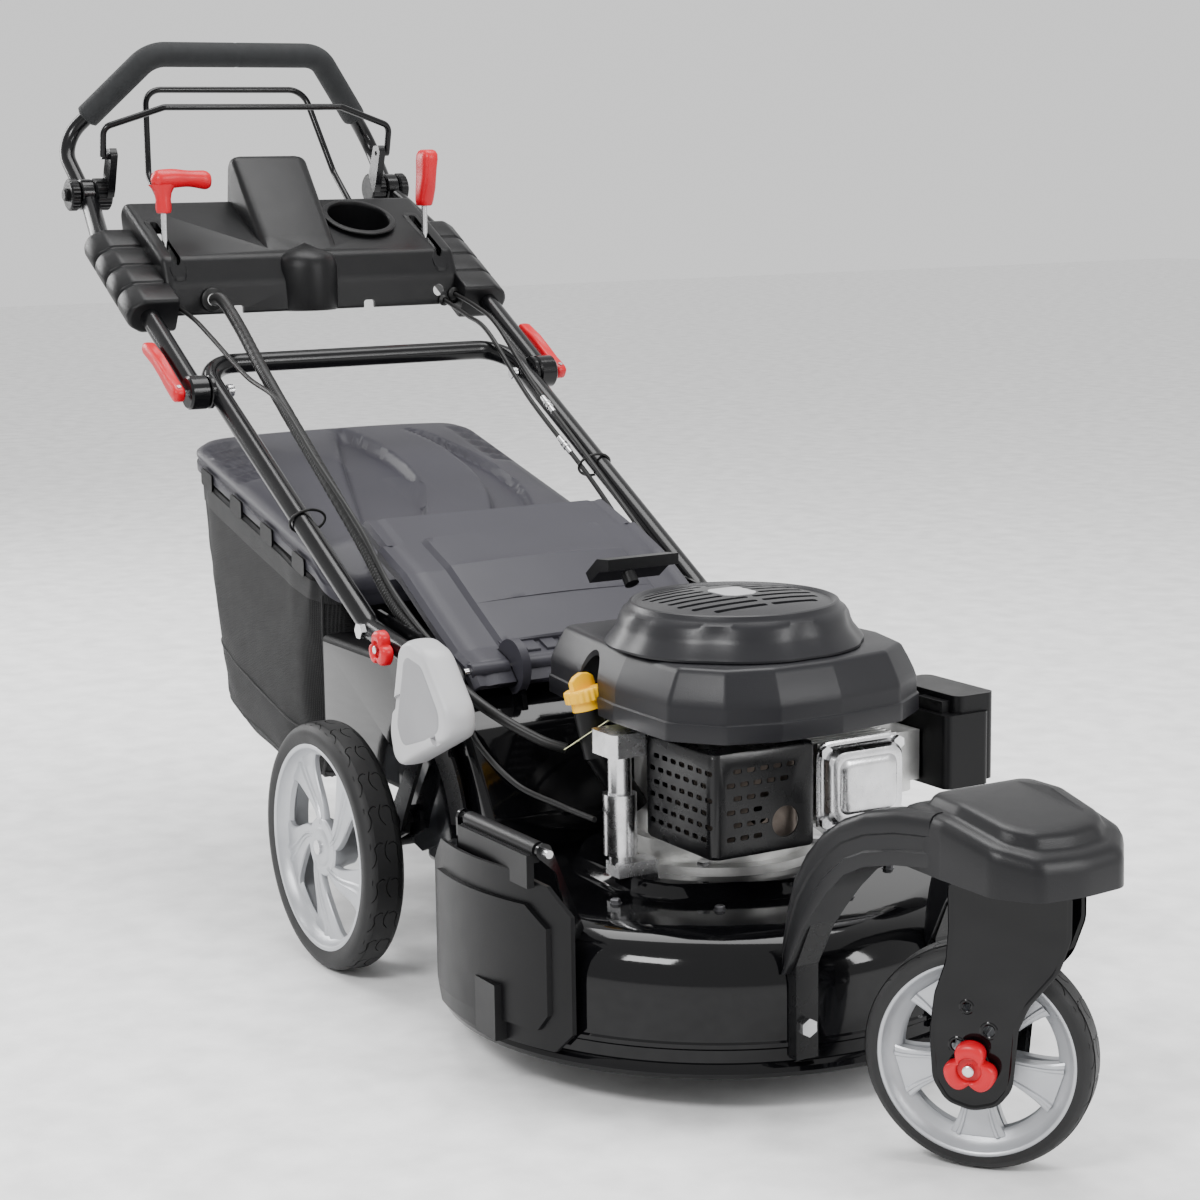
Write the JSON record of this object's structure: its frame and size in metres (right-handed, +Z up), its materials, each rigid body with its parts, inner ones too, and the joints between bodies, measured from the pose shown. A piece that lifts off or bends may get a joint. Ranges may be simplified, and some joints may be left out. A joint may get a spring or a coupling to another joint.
{
  "type": "petrol lawn mower",
  "caption": "Walk-behind petrol rotary mower with round pressed deck, swivelling front wheel, domed engine, rear grass bag, side flap and folding handle with bails, console and red levers.",
  "frame": {"origin": "on the ground, below the middle of the outline seen from above", "axes": "+X is the direction of travel, +Y the mower's left, +Z up"},
  "size_m": [1.8463, 0.587, 1.059],
  "materials": {
    "black_paint": "gloss",
    "black_frame": "semi-gloss",
    "black_plastic": "satin",
    "grey_plastic": "satin",
    "red_plastic": "satin",
    "yellow_plastic": "satin",
    "pale_plastic": "satin",
    "silver_plastic": "satin",
    "white_plastic": "satin",
    "tag_card": "matte",
    "aluminium": "cast",
    "stamped_steel": "zinc plated",
    "dark_steel": "worn",
    "cast_iron": "machined",
    "tyre": "matte",
    "rubber": "matte",
    "foam": "matte",
    "bag_cloth": "woven"
  },
  "bodies": {
    "deck": {"deck_shell": "black_paint", "front_frame": "black_frame", "front_cover": "grey_plastic", "side_plates": "black_paint", "height_plate": "black_frame", "fasteners": "stamped_steel", "engine_block": "aluminium", "valve_cover": "stamped_steel", "muffler": "dark_steel", "muffler_guard": "black_frame", "carburettor": "aluminium", "air_box": "black_plastic", "fuel_tank": "white_plastic", "engine_shroud": "grey_plastic", "engine_cowl": "grey_plastic", "oil_filler": "black_plastic", "oil_tag": "tag_card", "starter_motor": "stamped_steel", "drive_belt": "rubber", "lower_handle": "black_frame", "lower_knobs": "red_plastic", "conduit": "rubber", "control_cables": "rubber"},
    "crank": {"crankshaft": "dark_steel", "flywheel": "aluminium", "blade_holder": "cast_iron", "blade": "dark_steel"},
    "recoil": {"recoil_handle": "black_plastic"},
    "oil_cap": {"oil_cap": "yellow_plastic"},
    "fuel_cap": {"fuel_cap": "black_plastic"},
    "axle": {"axle_beam": "black_frame", "height_lever": "black_frame", "height_grip": "pale_plastic", "gearbox": "aluminium"},
    "gearbox_input": {"gearbox_pulley": "dark_steel"},
    "drive_shaft": {"drive_shaft": "dark_steel"},
    "rear_wheel_right": {"rear_tyre_right": "tyre", "rear_hub_right": "silver_plastic"},
    "rear_wheel_left": {"rear_tyre_left": "tyre", "rear_hub_left": "silver_plastic"},
    "caster": {"caster_fork": "black_paint", "front_axle": "stamped_steel"},
    "front_wheel": {"front_tyre": "tyre", "front_hub": "silver_plastic"},
    "front_knob": {"front_knob": "red_plastic"},
    "side_flap": {"side_flap": "black_plastic"},
    "rear_flap": {"rear_flap": "grey_plastic"},
    "grass_bag": {"bag_top": "grey_plastic", "bag_fabric": "bag_cloth"},
    "upper_handle": {"upper_handle": "black_frame", "console": "grey_plastic"},
    "cam_right": {"cam_lever_right": "red_plastic"},
    "cam_left": {"cam_lever_left": "red_plastic"},
    "throttle": {"throttle_lever": "red_plastic"},
    "speed": {"speed_lever": "red_plastic"},
    "grip": {"grip_loop": "black_frame", "foam_grip": "foam", "angle_adjusters": "black_plastic"},
    "engine_bail": {"engine_bail": "black_frame"},
    "drive_bail": {"drive_bail": "black_frame"}
  },
  "joints": [
    {"name": "crank_spin", "type": "hinge", "parent": "deck", "child": "crank", "pos_m": [0.34794, 0.0065, 0.2], "axis": [0, 0, 1], "continuous": true},
    {"name": "gearbox_input_spin", "type": "hinge", "parent": "axle", "child": "gearbox_input", "pos_m": [0.02994, 0.0065, 0.149], "axis": [0, 0, 1], "continuous": true},
    {"name": "recoil_pull", "type": "slide", "parent": "deck", "child": "recoil", "axis": [-0.7659, 0, 0.6429], "range_m": [0, 0.35], "stiffness_N_per_m": 20, "springref_m": -0.05},
    {"name": "oil_cap_turn", "type": "hinge", "parent": "deck", "child": "oil_cap", "pos_m": [0.31394, -0.1275, 0.352], "axis": [-0.1741, -0.1393, 0.9748], "range_deg": [0, 90]},
    {"name": "fuel_cap_turn", "type": "hinge", "parent": "deck", "child": "fuel_cap", "pos_m": [0.24994, 0.1085, 0.42], "axis": [0, 0, 1], "range_deg": [0, 90]},
    {"name": "cutting_height", "type": "hinge", "parent": "deck", "child": "axle", "pos_m": [0.04194, 0.0065, 0.18], "axis": [0, 1, 0], "range_deg": [-12, 12], "deforming": ["drive_belt"]},
    {"name": "drive_shaft_spin", "type": "hinge", "parent": "axle", "child": "drive_shaft", "pos_m": [-0.04206, 0.0065, 0.14], "axis": [0, 1, 0], "continuous": true},
    {"name": "rear_wheel_right_spin", "type": "hinge", "parent": "drive_shaft", "child": "rear_wheel_right", "pos_m": [-0.04206, -0.2505, 0.14], "axis": [0, 1, 0], "continuous": true},
    {"name": "rear_wheel_left_spin", "type": "hinge", "parent": "drive_shaft", "child": "rear_wheel_left", "pos_m": [-0.04206, 0.2635, 0.14], "axis": [0, 1, 0], "continuous": true},
    {"name": "caster_swivel", "type": "hinge", "parent": "deck", "child": "caster", "pos_m": [0.81994, 0.0065, 0.29], "axis": [0, 0, 1], "continuous": true},
    {"name": "front_wheel_spin", "type": "hinge", "parent": "caster", "child": "front_wheel", "pos_m": [0.80118, -0.00847, 0.104], "axis": [-0.6239, 0.7815, 0], "continuous": true},
    {"name": "front_knob_turn", "type": "hinge", "parent": "caster", "child": "front_knob", "pos_m": [0.80118, -0.00847, 0.104], "axis": [-0.6239, 0.7815, 0], "range_deg": [0, 90]},
    {"name": "side_flap_lift", "type": "hinge", "parent": "deck", "child": "side_flap", "pos_m": [0.41594, -0.2645, 0.25], "axis": [-1, 0, 0], "range_deg": [0, 75], "stiffness_Nm_per_rad": 0.3, "springref_deg": -34.38},
    {"name": "rear_flap_lift", "type": "hinge", "parent": "deck", "child": "rear_flap", "pos_m": [0.12994, 0.0065, 0.356], "axis": [0, 1, 0], "range_deg": [0, 70], "stiffness_Nm_per_rad": 0.5, "springref_deg": -17.19},
    {"name": "bag_lift_off", "type": "slide", "parent": "deck", "child": "grass_bag", "axis": [-0.989, 0, 0.148], "range_m": [0, 0.5]},
    {"name": "handle_fold", "type": "hinge", "parent": "deck", "child": "upper_handle", "pos_m": [-0.43506, 0.0065, 0.619], "axis": [0, 1, 0], "range_deg": [0, 120], "deforming": ["conduit", "control_cables"]},
    {"name": "cam_right_flip", "type": "hinge", "parent": "upper_handle", "child": "cam_right", "pos_m": [-0.43506, -0.2604, 0.619], "axis": [0.4959, 0, 0.8684], "range_deg": [0, 90]},
    {"name": "cam_left_flip", "type": "hinge", "parent": "upper_handle", "child": "cam_left", "pos_m": [-0.43506, 0.2734, 0.619], "axis": [-0.4959, 0, -0.8684], "range_deg": [0, 90]},
    {"name": "throttle_push", "type": "hinge", "parent": "upper_handle", "child": "throttle", "pos_m": [-0.65806, -0.1835, 0.752], "axis": [0, 1, 0], "range_deg": [-18, 18]},
    {"name": "speed_push", "type": "hinge", "parent": "upper_handle", "child": "speed", "pos_m": [-0.65806, 0.1925, 0.752], "axis": [0, 1, 0], "range_deg": [-18, 18]},
    {"name": "grip_angle", "type": "hinge", "parent": "upper_handle", "child": "grip", "pos_m": [-0.85014, 0.0065, 0.85605], "axis": [0, 1, 0], "range_deg": [-12, 12]},
    {"name": "engine_bail_pull", "type": "hinge", "parent": "grip", "child": "engine_bail", "pos_m": [-0.81806, 0.0065, 0.906], "axis": [0, -1, 0], "range_deg": [0, 25], "stiffness_Nm_per_rad": 0.6, "springref_deg": -22.92},
    {"name": "drive_bail_pull", "type": "hinge", "parent": "upper_handle", "child": "drive_bail", "pos_m": [-0.77606, 0.0065, 0.826], "axis": [0, 1, 0], "range_deg": [0, 9], "stiffness_Nm_per_rad": 0.6, "springref_deg": -22.92}
  ],
  "couplings": [
    {"joint": "gearbox_input_spin", "follows": "crank_spin", "ratio": 1.1}
  ]
}
